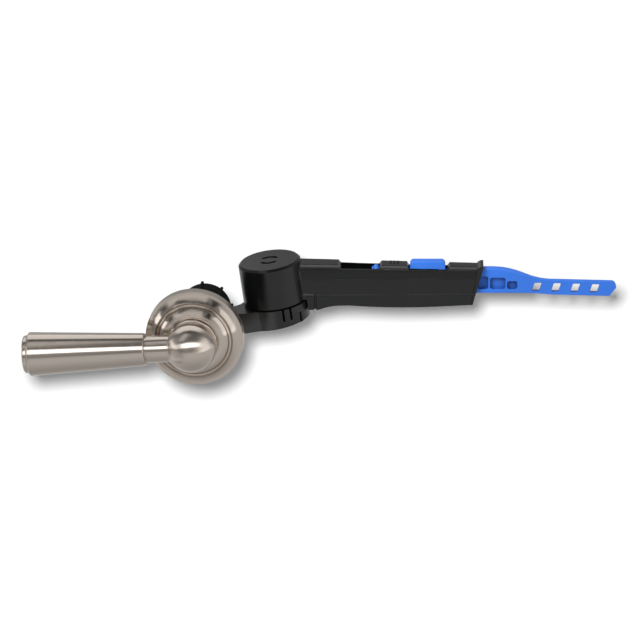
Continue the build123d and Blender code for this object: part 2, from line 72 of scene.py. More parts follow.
def makeCamera(setup):
    half = setup["imageSize"] / 2
    across = (half - setup["centre"][0]) / setup["pixelsPerMm"] * mm
    upward = (setup["centre"][1] - half) / setup["pixelsPerMm"] * mm
    data = bpy.data.cameras.new("camera")
    data.sensor_width = setup["sensor"]
    data.lens = setup["sensor"] * setup["distance"] * setup["pixelsPerMm"] / mm / setup["imageSize"]
    data.clip_start, data.clip_end = 0.01, 20
    camera = bpy.data.objects.new("camera", data)
    place = camRight * across + camUp * upward + camToward * setup["distance"]
    camera.matrix_world = facing(camRight, camUp, camToward, place)
    bpy.context.scene.collection.objects.link(camera)
    bpy.context.scene.camera = camera
    return camera


camera = makeCamera(camSetup)
print("camera set")

# studio: pale floor square to the view, soft boxes, dark flags, and a lamp for the floor's shadow only
studio = dict(floorDepth=0.4, floorSize=0.8, floorColour=(0.88, 0.88, 0.88, 1), shownFrom=0.97,
              shownFull=0.99, shadowStrength=2.75, shadowAngle=1.18, shadowRise=0.62, shadowLeft=0.52)
skyLevels = (  # share of the way from straight down to straight up, level
    (0.0, 0.38), (0.06, 0.46), (0.14, 0.53), (0.25, 0.6), (0.44, 0.62), (0.475, 0.37),
    (0.6, 0.34), (0.67, 0.27), (0.84, 0.25), (0.89, 0.13), (1.0, 0.1))
darkFlags = (  # azimuth, elevation, angles where the flag is full and where it ends, level left
    (-70, -10, 15, 41, 0.06),)
# rows of small flags that the plate mirrors as dark streaks: hour of its clock and level left for each
plateStreaks = dict(levels=((1.22, 0.2), (10.77, 0.6)), tilts=range(14, 50, 3), full=2.5, end=6)
# boxes as seen from the object: name, azimuth, elevation, roll, distance, width, height, strength,
# pieces lit, and whether they count for shine, for matt light or for both
softBoxes = (
    ("stripBox", 5, 31, 0, 1.0, 1.6, 0.37, 2.4, "allButPlate", "shine"),
    ("gripBox", -44, 63, 0, 0.335, 0.11, 0.22, 0.7, "allButPlate", "shine"),
    ("wedgeBox", -6.5, 37, -17, 1.0, 0.69, 1.5, 0.36, "plate", "shine"),
    ("wedgeLeft", -48, 37, 53, 1.0, 0.22, 0.92, 0.36, "plate", "shine"),
    ("plateRight", 38, 12, -53, 1.0, 0.4, 1.1, 0.12, "plate", "shine"),
    ("leftBox", -85, 14, 0, 1.0, 1.1, 0.26, 1.5, "all", "both"),
    ("rightBox", 75, 10, 0, 1.0, 1.2, 0.85, 0.75, "all", "both"),
    ("backBox", 186, 55, 0, 1.0, 1.5, 0.7, 0.85, "all", "both"),
    ("topBox", 197, 20, 0, 1.0, 0.24, 0.3, 0.36, "allButPlate", "shine"),
    ("crankBox", -30, -20, 0, 1.0, 1.2, 0.5, 0.5, "crank", "shine"),
    ("handleBox", -74, -17, 0, 1.0, 0.95, 0.72, 0.48, "handle", "shine"),
    ("fillBox", -10, 55, 0, 0.55, 0.3, 0.25, 14.5, "all", "matt"),
)


def plateMirror(hour, tilt):  # what the plate shows at an hour of its clock, where it leans out by tilt
    turn, lean = radians(hour * 30), radians(tilt)
    normal = Vector((sin(turn) * sin(lean), -cos(lean), cos(turn) * sin(lean)))
    return normal * 2 * normal.dot(camToward) - camToward


def newMaterial(name):
    made = bpy.data.materials.new(name)
    made.use_nodes = True
    made.node_tree.nodes.clear()
    return made, made.node_tree.nodes, made.node_tree.links


def addNode(tree, kind, **settings):
    node = tree.new(kind)
    for key, value in settings.items():
        setattr(node, key, value)
    return node


def floorMaterial(setup):
    made, tree, links = newMaterial("studioFloor")
    out = addNode(tree, "ShaderNodeOutputMaterial")
    diffuse = addNode(tree, "ShaderNodeBsdfDiffuse")
    diffuse.inputs["Color"].default_value = setup["floorColour"]
    clear = addNode(tree, "ShaderNodeBsdfTransparent")
    side = addNode(tree, "ShaderNodeNewGeometry")
    path = addNode(tree, "ShaderNodeLightPath")
    slant = addNode(tree, "ShaderNodeVectorMath", operation="DOT_PRODUCT")
    links.new(side.outputs["Incoming"], slant.inputs[0])
    links.new(side.outputs["Normal"], slant.inputs[1])
    square = addNode(tree, "ShaderNodeMapRange")
    square.inputs["From Min"].default_value = setup["shownFrom"]
    square.inputs["From Max"].default_value = setup["shownFull"]
    links.new(slant.outputs["Value"], square.inputs["Value"])
    seen = addNode(tree, "ShaderNodeMath", operation="MULTIPLY")
    links.new(path.outputs["Is Camera Ray"], seen.inputs[0])
    links.new(square.outputs[0], seen.inputs[1])
    # shown to the camera alone, nearly square on and from in front
    shown = addNode(tree, "ShaderNodeMath", operation="SUBTRACT", use_clamp=True)
    links.new(seen.outputs[0], shown.inputs[0])
    links.new(side.outputs["Backfacing"], shown.inputs[1])
    pick = addNode(tree, "ShaderNodeMixShader")
    links.new(shown.outputs[0], pick.inputs[0])
    links.new(clear.outputs[0], pick.inputs[1])
    links.new(diffuse.outputs[0], pick.inputs[2])
    links.new(pick.outputs[0], out.inputs["Surface"])
    return made


def makeFloor(setup):
    half = setup["floorSize"] / 2
    mesh = bpy.data.meshes.new("floor")
    corners = [(-half, -half, 0), (half, -half, 0), (half, half, 0), (-half, half, 0)]
    mesh.from_pydata(corners, [], [(0, 1, 2, 3)])
    floor = bpy.data.objects.new("floor", mesh)
    floor.matrix_world = facing(camRight, camUp, camToward, camToward * -setup["floorDepth"])
    bpy.context.scene.collection.objects.link(floor)
    mesh.materials.append(floorMaterial(setup))
    return floor


def makeSky(levels, flags):
    world = bpy.data.worlds.new("studio")
    bpy.context.scene.world = world
    world.use_nodes = True
    tree, links = world.node_tree.nodes, world.node_tree.links
    tree.clear()
    out = addNode(tree, "ShaderNodeOutputWorld")
    coord = addNode(tree, "ShaderNodeTexCoord")
    parts = addNode(tree, "ShaderNodeSeparateXYZ")
    links.new(coord.outputs["Generated"], parts.inputs[0])
    height = addNode(tree, "ShaderNodeMapRange")
    height.inputs["From Min"].default_value = -1
    links.new(parts.outputs["Z"], height.inputs["Value"])
    ramp = addNode(tree, "ShaderNodeValToRGB")
    while len(ramp.color_ramp.elements) < len(levels):
        ramp.color_ramp.elements.new(0.5)
    for stop, (place, level) in zip(ramp.color_ramp.elements, levels):
        stop.position = place
        stop.color = (level, level, level, 1)
    links.new(height.outputs[0], ramp.inputs[0])
    back = addNode(tree, "ShaderNodeBackground")
    links.new(ramp.outputs[0], back.inputs["Color"])
    strength = None
    for direction, inner, outer, level in flags:
        near = addNode(tree, "ShaderNodeVectorMath", operation="DOT_PRODUCT")  # how near the flag's middle
        near.inputs[1].default_value = direction
        links.new(coord.outputs["Generated"], near.inputs[0])
        shade = addNode(tree, "ShaderNodeMapRange")
        shade.inputs["From Min"].default_value = cos(radians(outer))
        shade.inputs["From Max"].default_value = cos(radians(inner))
        shade.inputs["To Min"].default_value = 1
        shade.inputs["To Max"].default_value = level
        links.new(near.outputs["Value"], shade.inputs["Value"])
        both = addNode(tree, "ShaderNodeMath", operation="MULTIPLY")
        both.inputs[1].default_value = 1
        links.new(shade.outputs[0], both.inputs[0])
        if strength:
            links.new(strength, both.inputs[1])
        strength = both.outputs[0]
    links.new(strength, back.inputs["Strength"])
    white = addNode(tree, "ShaderNodeBackground")
    white.inputs["Color"].default_value = (1, 1, 1, 1)
    path = addNode(tree, "ShaderNodeLightPath")
    pick = addNode(tree, "ShaderNodeMixShader")
    links.new(path.outputs["Is Camera Ray"], pick.inputs[0])
    links.new(back.outputs[0], pick.inputs[1])
    links.new(white.outputs[0], pick.inputs[2])
    links.new(pick.outputs[0], out.inputs["Surface"])


def makeBoxes(boxes, groups):
    for name, azimuth, elevation, roll, distance, width, height, strength, lit, how in boxes:
        toward = skyDirection(azimuth, elevation)
        right = Matrix.Rotation(radians(roll), 3, toward) @ levelRight(azimuth)
        lamp = bpy.data.lights.new(name, "AREA")
        lamp.shape = "RECTANGLE"
        lamp.size, lamp.size_y = width, height
        lamp.energy = strength * pi * width * height
        box = bpy.data.objects.new(name, lamp)
        box.matrix_world = facing(right, toward.cross(right), toward, toward * distance)
        bpy.context.scene.collection.objects.link(box)
        box.light_linking.receiver_collection = groups[lit]
        box.visible_glossy = how != "matt"
        box.visible_diffuse = how != "shine"


def makeShadowLamp(setup, group):  # beside the camera, so that the shadow keeps the same offset everywhere
    away = camSetup["distance"]
    bulb = bpy.data.lights.new("shadowLamp", "POINT")
    bulb.energy = setup["shadowStrength"] * 4 * pi * (away + setup["floorDepth"]) ** 2
    bulb.shadow_soft_size = away * tan(radians(setup["shadowAngle"] / 2))
    lamp = bpy.data.objects.new("shadowLamp", bulb)
    shift = camUp * tan(radians(setup["shadowRise"])) - camRight * tan(radians(setup["shadowLeft"]))
    lamp.location = camera.matrix_world.translation + shift * away
    bpy.context.scene.collection.objects.link(lamp)
    lamp.light_linking.receiver_collection = group


def lightGroup(name, members, state):
    group = bpy.data.collections.new(name)
    for member in members:
        group.objects.link(member)
    for linked in group.collection_objects:
        linked.light_linking.link_state = state
    return group


floor = makeFloor(studio)
flags = [(skyDirection(azimuth, elevation), *rest) for azimuth, elevation, *rest in darkFlags]
for hour, level in plateStreaks["levels"]:
    for tilt in plateStreaks["tilts"]:
        flags.append((plateMirror(hour, tilt), plateStreaks["full"], plateStreaks["end"], level))
makeSky(skyLevels, flags)
makeShadowLamp(studio, lightGroup("floorOnly", [floor], "INCLUDE"))
bpy.context.scene.view_settings.view_transform = "Standard"
print("floor and sky set")

# finishes
nickelLook = dict(colour=(0.66, 0.585, 0.52, 1), dim=0.9, roughness=0.24, spread=0.04, anisotropic=0.92,
                  lines=5200.0, drift=30.0, cloud=160, bump=0.02, bumpDepth=0.00002)
plateLook = dict(nickelLook, roughness=0.19, anisotropic=0.97)
blackLook = dict(colour=(0.0035, 0.0038, 0.0038, 1), dim=0.88, lift=1.08, roughness=0.25, spread=0.08,
                 specular=0.52, grain=1700.0, cloud=55.0, bump=0.12, bumpDepth=0.00004)
nutLook = dict(blackLook, roughness=0.6, specular=0.05)
# blue: its own colour, plus painted shade in the pockets from ambient occlusion (reach, darkest level, and
# the occlusion values where the shade is full and where it ends)
blueLook = dict(blackLook, colour=(0.045, 0.21, 0.84, 1), roughness=0.42, specular=0.3, grain=1900.0,
                cloud=70.0, paintedShadeReach=0.004, paintedShadeLevel=0.3, closedFrom=0.3, openFrom=0.95)
zincLook = dict(colour=(0.56, 0.57, 0.58, 1), dim=0.82, roughness=0.3, smoother=0.08, rougher=0.1,
                grain=900.0)
brassLook = dict(zincLook, colour=(0.66, 0.5, 0.24, 1), roughness=0.26, grain=700.0)


def shaded(colour, share):
    return [min(1, c * share) for c in colour[:3]] + [1]


def nickelMaterial(name, look):
    made, tree, links = newMaterial(name)
    out = addNode(tree, "ShaderNodeOutputMaterial")
    body = addNode(tree, "ShaderNodeBsdfPrincipled")
    body.inputs["Metallic"].default_value = 1
    body.inputs["Anisotropic"].default_value = look["anisotropic"]
    body.inputs["Anisotropic Rotation"].default_value = 0.25
    tangent = addNode(tree, "ShaderNodeTangent", direction_type="UV_MAP", uv_map="turned")
    links.new(tangent.outputs[0], body.inputs["Tangent"])
    uv = addNode(tree, "ShaderNodeUVMap", uv_map="turned")
    stretch = addNode(tree, "ShaderNodeMapping")
    stretch.inputs["Scale"].default_value = (look["drift"], look["lines"], 1)
    links.new(uv.outputs[0], stretch.inputs["Vector"])
    lines = addNode(tree, "ShaderNodeTexNoise")
    lines.inputs["Scale"].default_value = 1
    lines.inputs["Detail"].default_value = 3
    links.new(stretch.outputs[0], lines.inputs["Vector"])
    coord = addNode(tree, "ShaderNodeTexCoord")
    cloud = addNode(tree, "ShaderNodeTexNoise")
    cloud.inputs["Scale"].default_value = look["cloud"]
    cloud.inputs["Detail"].default_value = 4
    links.new(coord.outputs["Object"], cloud.inputs["Vector"])
    shade = addNode(tree, "ShaderNodeMix", data_type="RGBA")
    shade.inputs[6].default_value = shaded(look["colour"], look["dim"])
    shade.inputs[7].default_value = look["colour"]
    links.new(lines.outputs["Fac"], shade.inputs[0])
    links.new(shade.outputs[2], body.inputs["Base Color"])
    rough = addNode(tree, "ShaderNodeMapRange")
    rough.inputs["To Min"].default_value = look["roughness"] - look["spread"]
    rough.inputs["To Max"].default_value = look["roughness"] + look["spread"]
    links.new(cloud.outputs["Fac"], rough.inputs["Value"])
    links.new(rough.outputs[0], body.inputs["Roughness"])
    bump = addNode(tree, "ShaderNodeBump")
    bump.inputs["Strength"].default_value = look["bump"]
    bump.inputs["Distance"].default_value = look["bumpDepth"]
    links.new(lines.outputs["Fac"], bump.inputs["Height"])
    links.new(bump.outputs[0], body.inputs["Normal"])
    links.new(body.outputs[0], out.inputs["Surface"])
    return made


def mouldedMaterial(name, look):
    made, tree, links = newMaterial(name)
    out = addNode(tree, "ShaderNodeOutputMaterial")
    body = addNode(tree, "ShaderNodeBsdfPrincipled")
    body.inputs["Specular IOR Level"].default_value = look["specular"]
    coord = addNode(tree, "ShaderNodeTexCoord")
    cloud = addNode(tree, "ShaderNodeTexNoise")
    cloud.inputs["Scale"].default_value = look["cloud"]
    cloud.inputs["Detail"].default_value = 5
    grain = addNode(tree, "ShaderNodeTexNoise")
    grain.inputs["Scale"].default_value = look["grain"]
    grain.inputs["Detail"].default_value = 2
    for texture in (cloud, grain):
        links.new(coord.outputs["Object"], texture.inputs["Vector"])
    shade = addNode(tree, "ShaderNodeMix", data_type="RGBA")
    shade.inputs[6].default_value = shaded(look["colour"], look["dim"])
    shade.inputs[7].default_value = shaded(look["colour"], look["lift"])
    links.new(cloud.outputs["Fac"], shade.inputs[0])
    links.new(shade.outputs[2], body.inputs["Base Color"])
    if "paintedShadeReach" in look:  # painted shade: the base colour goes darker towards the pocket floors, where the occlusion closes in
        paintedShadeOcclusion = addNode(tree, "ShaderNodeAmbientOcclusion", samples=32, only_local=True)
        paintedShadeOcclusion.inputs["Distance"].default_value = look["paintedShadeReach"]
        paintedShadeFactor = addNode(tree, "ShaderNodeMapRange")
        paintedShadeFactor.inputs["From Min"].default_value = look["closedFrom"]
        paintedShadeFactor.inputs["From Max"].default_value = look["openFrom"]
        paintedShadeFactor.inputs["To Min"].default_value = look["paintedShadeLevel"]
        links.new(paintedShadeOcclusion.outputs["AO"], paintedShadeFactor.inputs["Value"])
        # painted shade mixed into the base colour, towards black as the occlusion closes in
        deep = addNode(tree, "ShaderNodeMix", data_type="RGBA")
        deep.inputs[6].default_value = (0, 0, 0, 1)
        links.new(paintedShadeFactor.outputs[0], deep.inputs[0])
        links.new(shade.outputs[2], deep.inputs[7])
        links.new(deep.outputs[2], body.inputs["Base Color"])
    rough = addNode(tree, "ShaderNodeMapRange")
    rough.inputs["To Min"].default_value = look["roughness"] - look["spread"]
    rough.inputs["To Max"].default_value = look["roughness"] + look["spread"]
    links.new(cloud.outputs["Fac"], rough.inputs["Value"])
    links.new(rough.outputs[0], body.inputs["Roughness"])
    bump = addNode(tree, "ShaderNodeBump")
    bump.inputs["Strength"].default_value = look["bump"]
    bump.inputs["Distance"].default_value = look["bumpDepth"]
    links.new(grain.outputs["Fac"], bump.inputs["Height"])
    links.new(bump.outputs[0], body.inputs["Normal"])
    links.new(body.outputs[0], out.inputs["Surface"])
    return made


def metalMaterial(name, look):
    made, tree, links = newMaterial(name)
    out = addNode(tree, "ShaderNodeOutputMaterial")
    body = addNode(tree, "ShaderNodeBsdfPrincipled")
    body.inputs["Metallic"].default_value = 1
    coord = addNode(tree, "ShaderNodeTexCoord")
    grain = addNode(tree, "ShaderNodeTexNoise")
    grain.inputs["Scale"].default_value = look["grain"]
    grain.inputs["Detail"].default_value = 4
    links.new(coord.outputs["Object"], grain.inputs["Vector"])
    shade = addNode(tree, "ShaderNodeMix", data_type="RGBA")
    shade.inputs[6].default_value = shaded(look["colour"], look["dim"])
    shade.inputs[7].default_value = look["colour"]
    links.new(grain.outputs["Fac"], shade.inputs[0])
    links.new(shade.outputs[2], body.inputs["Base Color"])
    rough = addNode(tree, "ShaderNodeMapRange")
    rough.inputs["To Min"].default_value = look["roughness"] - look["smoother"]
    rough.inputs["To Max"].default_value = look["roughness"] + look["rougher"]
    links.new(grain.outputs["Fac"], rough.inputs["Value"])
    links.new(rough.outputs[0], body.inputs["Roughness"])
    links.new(body.outputs[0], out.inputs["Surface"])
    return made


nickel = nickelMaterial("satinNickel", nickelLook)
plateNickel = nickelMaterial("turnedNickel", plateLook)
black = mouldedMaterial("blackMoulding", blackLook)
dullBlack = mouldedMaterial("dullBlackMoulding", nutLook)
blue = mouldedMaterial("blueMoulding", blueLook)
zinc = metalMaterial("zincPlate", zincLook)
brass = metalMaterial("turnedBrass", brassLook)
print("finishes made")


def sharpen(mesh, angle=34):
    mesh.shade_smooth()
    mesh.set_sharp_from_angle(angle=radians(angle))


def addPiece(name, mesh, material, body, replaced):
    mesh.materials.clear()
    mesh.materials.append(material)
    piece = bpy.data.objects.new(name, mesh)
    bpy.context.scene.collection.objects.link(piece)
    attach(piece, body)
    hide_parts(replaced)


def roundCorners(points, steps=6):  # each point: along, out, rounding of its corner
    made = []
    last = len(points) - 1
    for i, (along, out, rounding) in enumerate(points):
        here = Vector((along, out))
        if i in (0, last) or not rounding:
            made.append(here)
            continue
        before = (Vector(points[i - 1][:2]) - here).normalized()
        after = (Vector(points[i + 1][:2]) - here).normalized()
        half = before.angle(after) / 2
        reach = rounding / tan(half)
        middle = here + (before + after).normalized() * rounding / sin(half)
        start, end = here + before * reach - middle, here + after * reach - middle
        sweep = start.angle_signed(end)
        for k in range(steps + 1):
            turn = -sweep * k / steps
            made.append(middle + Matrix.Rotation(turn, 2) @ start)
    return made


def arcThrough(start, end, bulge, steps=10):  # points between start and end, bulging to the left of travel
    a, b = Vector(start), Vector(end)
    chord = b - a
    left = Vector((-chord.y, chord.x)).normalized()
    made = []
    for k in range(1, steps):
        t = k / steps
        made.append(a + chord * t + left * bulge * 4 * t * (1 - t))
    return made


closingBand = 0.002  # length of a closed profile's last band in its map


def turnProfile(profile, origin, axis, segments, closed=False, seam=-camToward):  # seam away from the camera
    axis = Vector(axis).normalized()
    side = (seam - axis * seam.dot(axis)).normalized()
    other = axis.cross(side)
    bm = bmesh.new()
    uvLayer = bm.loops.layers.uv.new("turned")
    rings, lengths, run = [], [], 0.0
    for i, point in enumerate(profile):
        if i:
            run += (point - profile[i - 1]).length
        lengths.append(run * mm)
        centre = Vector(origin) * mm + axis * point.x * mm
        count = 1 if point.y < 1e-6 else segments
        ring = []
        for k in range(count):
            turn = 2 * pi * k / segments
            ring.append(bm.verts.new(centre + (side * cos(turn) + other * sin(turn)) * point.y * mm))
        rings.append(ring)
    if closed:
        rings.append(rings[0])
        lengths.append(lengths[-1] + closingBand)
    for i in range(len(rings) - 1):
        first, second = rings[i], rings[i + 1]
        low, high = lengths[i], lengths[i + 1]
        for k in range(segments):
            n = (k + 1) % segments
            corners = [(first[k % len(first)], k, low), (first[n % len(first)], k + 1, low),
                       (second[n % len(second)], k + 1, high), (second[k % len(second)], k, high)]
            if len(first) == 1:
                corners.pop(1)
            elif len(second) == 1:
                corners.pop(2)
            face = bm.faces.new([c[0] for c in corners])
            for loop, corner in zip(face.loops, corners):
                loop[uvLayer].uv = (corner[1] / segments, corner[2])
    return bm


def finishMesh(bm, name, angle=34):
    bmesh.ops.recalc_face_normals(bm, faces=bm.faces)
    mesh = bpy.data.meshes.new(name)
    bm.to_mesh(mesh)
    bm.free()
    sharpen(mesh, angle)
    return mesh


# handle: ball, neck and tapering grip turned about the handle's own axis, collar about the spindle
handleShape = dict(ballRadius=10.498, ballDepth=15.4, rise=2.7, neckRadius=5.7, neckBlend=1.2,
                   grooveWidth=0.7, grooveDepth=0.4, grooveEdge=0.15, grooveRoot=0.1, gripStart=19.0,
                   gripRoot=6.8, gripEnd=67.8, gripTip=9.2, gripEdge=0.8, lipRadius=7.9, lipRoot=0.2,
                   lipEdge=1.1, length=70.4, collarRadius=10.2, collarBack=-9.5, collarThickness=1.3,
                   collarBackEdge=0.2, collarEdge=0.35, collarLand=2.5, segments=144)


def makeHandle(shape):
    ball, neck, blend = shape["ballRadius"], shape["neckRadius"], shape["neckBlend"]
    reach = sqrt((ball + blend) ** 2 - (neck + blend) ** 2)
    stop = atan2(neck + blend, reach)
    profile = []
    ballSteps, blendSteps = 40, 8
    for k in range(ballSteps + 1):
        turn = pi - (pi - stop) * k / ballSteps
        profile.append(Vector((ball * cos(turn), ball * sin(turn))))
    profile[0].y = 0
    for k in range(1, blendSteps + 1):
        turn = pi + stop + (pi / 2 - stop) * k / blendSteps
        profile.append(Vector((reach + blend * cos(turn), neck + blend + blend * sin(turn))))
    start, root = shape["gripStart"], shape["grooveRoot"]
    groove, low = start - shape["grooveWidth"], neck - shape["grooveDepth"]
    end, edge, lip = shape["gripEnd"], shape["gripEdge"], shape["lipRadius"]
    profile += roundCorners([
        (reach, neck, 0), (groove, neck, shape["grooveEdge"]), (groove, low, root), (start, low, root),
        (start, shape["gripRoot"], edge), (end, shape["gripTip"], edge), (end + edge, lip, shape["lipRoot"]),
        (shape["length"], lip, shape["lipEdge"]), (shape["length"], 0, 0)])[1:]
    rise = radians(shape["rise"])
    centre = (0, -shape["ballDepth"], 0)
    bm = turnProfile(profile, centre, (-cos(rise), 0, sin(rise)), shape["segments"])
    cut = bmesh.ops.bisect_plane(bm, geom=bm.verts[:] + bm.edges[:] + bm.faces[:], clear_outer=True,
                                 plane_co=(0, shape["collarBack"] * mm, 0), plane_no=(0, 1, 0))
    rim = [e for e in cut["geom_cut"] if isinstance(e, bmesh.types.BMEdge)]
    bmesh.ops.contextual_create(bm, geom=rim)
    turned = finishMesh(bm, "turnedHandle")
    back, radius = shape["collarBack"], shape["collarRadius"]
    front = back - shape["collarThickness"]
    collar = roundCorners([(back, 0, 0), (back, radius, shape["collarBackEdge"]),
                           (front, radius, shape["collarEdge"]), (front, radius - shape["collarLand"], 0),
                           (front, 0, 0)])
    bm = turnProfile(collar, (0, 0, 0), (0, 1, 0), shape["segments"])
    bm.from_mesh(turned)
    return finishMesh(bm, "leverHandle")


addPiece("leverHandle", makeHandle(handleShape), nickel, "lever", "handle")

# escutcheon: flat ring, cove, bead between two fine grooves, domed skirt and rim
plateShape = dict(rimRadius=20.5, rimDepth=4.7, rimLand=0.5, rimEdge=0.35, domeRadius=16.3, domeDepth=7.2,
                  domeBulge=0.75, domeSink=0.05, beadRadius=14.6, beadDepth=7.4, beadBulge=0.4, beadSink=0.02,
                  ringRadius=11.3, ringDepth=9.2, ringEdge=0.3, coveDepth=0.5, boreRadius=8.65, boreEdge=0.3,
                  boreLand=0.5, recessRadius=14.05, recessDepth=3.8, recessEdge=0.3, grooveWidth=0.34,
                  grooveDepth=0.34, segments=168)


def makePlate(shape):
    ring = Vector((-shape["ringDepth"], shape["ringRadius"]))
    bead = Vector((-shape["beadDepth"], shape["beadRadius"]))
    dome = Vector((-shape["domeDepth"], shape["domeRadius"]))
    rim = Vector((-shape["rimDepth"], shape["rimRadius"]))
    bore, recess, inside = shape["boreRadius"], shape["recessRadius"], -shape["recessDepth"]
    half, deep = shape["grooveWidth"] / 2, shape["grooveDepth"]
    profile = roundCorners([(ring.x, bore, 0), (ring.x, bore + shape["boreLand"], 0),
                            (*ring, shape["ringEdge"]), (*bead, 0)])[:-1]
    profile[0].x += shape["boreEdge"]
    profile += arcThrough(profile[-1], bead, shape["coveDepth"])
    profile += [bead, bead + Vector((deep, half)), bead + Vector((shape["beadSink"], 2 * half))]
    beadEnd = dome - Vector((0, half))
    profile += arcThrough(profile[-1], beadEnd, -shape["beadBulge"], steps=8)
    profile += [beadEnd, dome + Vector((deep, 0)), dome + Vector((shape["domeSink"], half))]
    profile += arcThrough(profile[-1], rim, -shape["domeBulge"], steps=20)
    profile += roundCorners([(*rim, 0), (rim.x + shape["rimLand"], rim.y, 0), (0, rim.y, shape["rimEdge"]),
                             (0, recess, shape["recessEdge"]), (inside, recess, 0), (inside, bore, 0)])
    bm = turnProfile(profile, (0, 0, 0), (0, 1, 0), shape["segments"], closed=True)
    return finishMesh(bm, "escutcheonPlate")


addPiece("escutcheonPlate", makePlate(plateShape), plateNickel, "bushing", "escutcheon")
print("nickel pieces turned")


# arm: wall sizes where it leaves the drum and at its mouth, upper walls leaning in, ledges sloped
armShape = dict(centre=(27.9, 40.0, 0.0), swing=7.5, droop=8.0, root=12.0, mouth=87.5, rootWidth=10.3,
                mouthWidth=7.4, rootTop=14.7, mouthTop=13.1, inset=0.25, edge=1.7,
                edgeCurve=((1.7, -0.6), (1.2, 1.25), (0.8, 1.7)), rootLean=0.6, mouthLean=0.1,
                shoulder=8.6, shoulderSlope=0.8, skirt=1.95, skirtProud=0.35, skirtSlope=1.0,
                drumRadius=13.1, slotRadius=3.6, slotReach=0.5, slotSpread=1.8, roof=13.5,
                slack=0.02, edgeSlack=0.03, drumSlack=0.05)


def armAxes(shape):
    swing, droop = radians(shape["swing"]), radians(shape["droop"])
    along = Vector((cos(swing) * cos(droop), sin(swing) * cos(droop), -sin(droop)))
    across = Vector((-sin(swing), cos(swing), 0))
    return Vector(shape["centre"]), along, across, along.cross(across)


def reshapeArm(bm, shape=armShape):
    centre, along, across, upward = armAxes(shape)
    droop, slack = radians(shape["droop"]), shape["slack"]
    drum, slot, shoulder = shape["drumRadius"], shape["slotRadius"], shape["shoulder"]
    start, control, end = (Vector(p) for p in shape["edgeCurve"])
    crisp = set()  # corners on the top edges' curve
    for vert in bm.verts:
        place = vert.co / mm - centre
        out = Vector((place.x, place.y)).length
        if place.z > shape["roof"] and abs(out - slot) < shape["slotReach"]:  # slots in the drum's roof
            wider = (slot + (out - slot) * shape["slotSpread"]) / out
            vert.co = (centre + Vector((place.x * wider, place.y * wider, place.z))) * mm
            continue
        s, w, u = place.dot(along), place.dot(across), place.dot(upward)
        if out < drum - shape["drumSlack"] or s < 0:
            continue
        share = (s - shape["root"]) / (shape["mouth"] - shape["root"])
        half = (shape["rootWidth"] + (shape["mouthWidth"] - shape["rootWidth"]) * share) / 2
        top = shape["rootTop"] + (shape["mouthTop"] - shape["rootTop"]) * share
        side = 1 if w > 0 else -1
        middle = Vector((half - shape["inset"] - shape["edge"], top - shape["edge"]))
        spoke = Vector((abs(w), u)) - middle
        lean = shape["rootLean"] + (shape["mouthLean"] - shape["rootLean"]) * share
        onEdge = min(spoke) > -slack / 2 and abs(spoke.length - shape["edge"]) < shape["edgeSlack"]
        if onEdge:  # rounded top edge
            t = min(1, max(0, atan2(spoke.y, spoke.x) / (pi / 2)))
            w, u = middle + start * (1 - t) ** 2 + control * 2 * t * (1 - t) + end * t * t
            w = side * (w - lean)
            crisp.add(vert)
        elif abs(u - shoulder) < slack and abs(abs(w) - half) < slack:
            u -= shape["shoulderSlope"]
        elif abs(u - shape["skirt"]) < slack and abs(abs(w) - half - shape["skirtProud"]) < slack:
            u -= shape["skirtSlope"]
        elif shoulder < u < middle.y and abs(abs(w) - half + shape["inset"]) < slack:
            w -= side * lean * (u - shoulder) / (middle.y - shoulder)
        else:
            continue
        if out < drum + shape["drumSlack"]:  # stays on the drum
            s = (sqrt(drum ** 2 - w * w) - u * sin(droop)) / cos(droop)
        vert.co = (centre + along * s + across * w + upward * u) * mm
    return crisp


# latch: foot behind the button set low, out of sight in the window
latchShape = dict(footStart=71.6, footTop=11.75, footDrop=1.2, slack=0.02)


def lowerFoot(bm, shape=latchShape):
    centre, along, across, upward = armAxes(armShape)
    start, top, slack = shape["footStart"], shape["footTop"], shape["slack"]
    for vert in bm.verts:
        place = vert.co / mm - centre
        if place.dot(along) > start - slack and abs(place.dot(upward) - top) < slack:
            vert.co -= upward * shape["footDrop"] * mm
    return set()


def easedCopy(node, width, smallest, reshape, segments=2, angle=33, soft=12):  # solid with its edges eased
    bm = bmesh.new()
    bm.from_mesh(nodes[node].data)
    bmesh.ops.remove_doubles(bm, verts=bm.verts, dist=2e-6)
    bmesh.ops.dissolve_limit(bm, angle_limit=radians(0.6), verts=bm.verts, edges=bm.edges)
    crisp = reshape(bm) if reshape else set()
    weight = bm.edges.layers.float.new("bevel_weight_edge")
    for edge in bm.edges:  # faces too small for the easing keep their corners
        room = min(face.calc_area() for face in edge.link_faces)
        bend = edge.calc_face_angle(0)
        eased = bend > radians(angle) and room > smallest * mm * mm and not crisp.issuperset(edge.verts)
        edge[weight] = float(eased)
        edge.smooth = smallest == 0 or eased or bend < radians(soft)
    mesh = bpy.data.meshes.new(node + "Eased")
    bm.to_mesh(mesh)
    bm.free()
    work = bpy.data.objects.new(node + "Work", mesh)
    bpy.context.scene.collection.objects.link(work)
    bevel = work.modifiers.new("ease", "BEVEL")
    bevel.width = width * mm
    bevel.segments = segments
    bevel.limit_method = "WEIGHT"
    bevel.use_clamp_overlap = False
    even = work.modifiers.new("even", "WEIGHTED_NORMAL")
    even.weight = 90
    even.keep_sharp = True
    for face in mesh.polygons:
        face.use_smooth = True
    graph = bpy.context.evaluated_depsgraph_get()
    made = bpy.data.meshes.new_from_object(work.evaluated_get(graph))
    bpy.data.objects.remove(work)
    return made


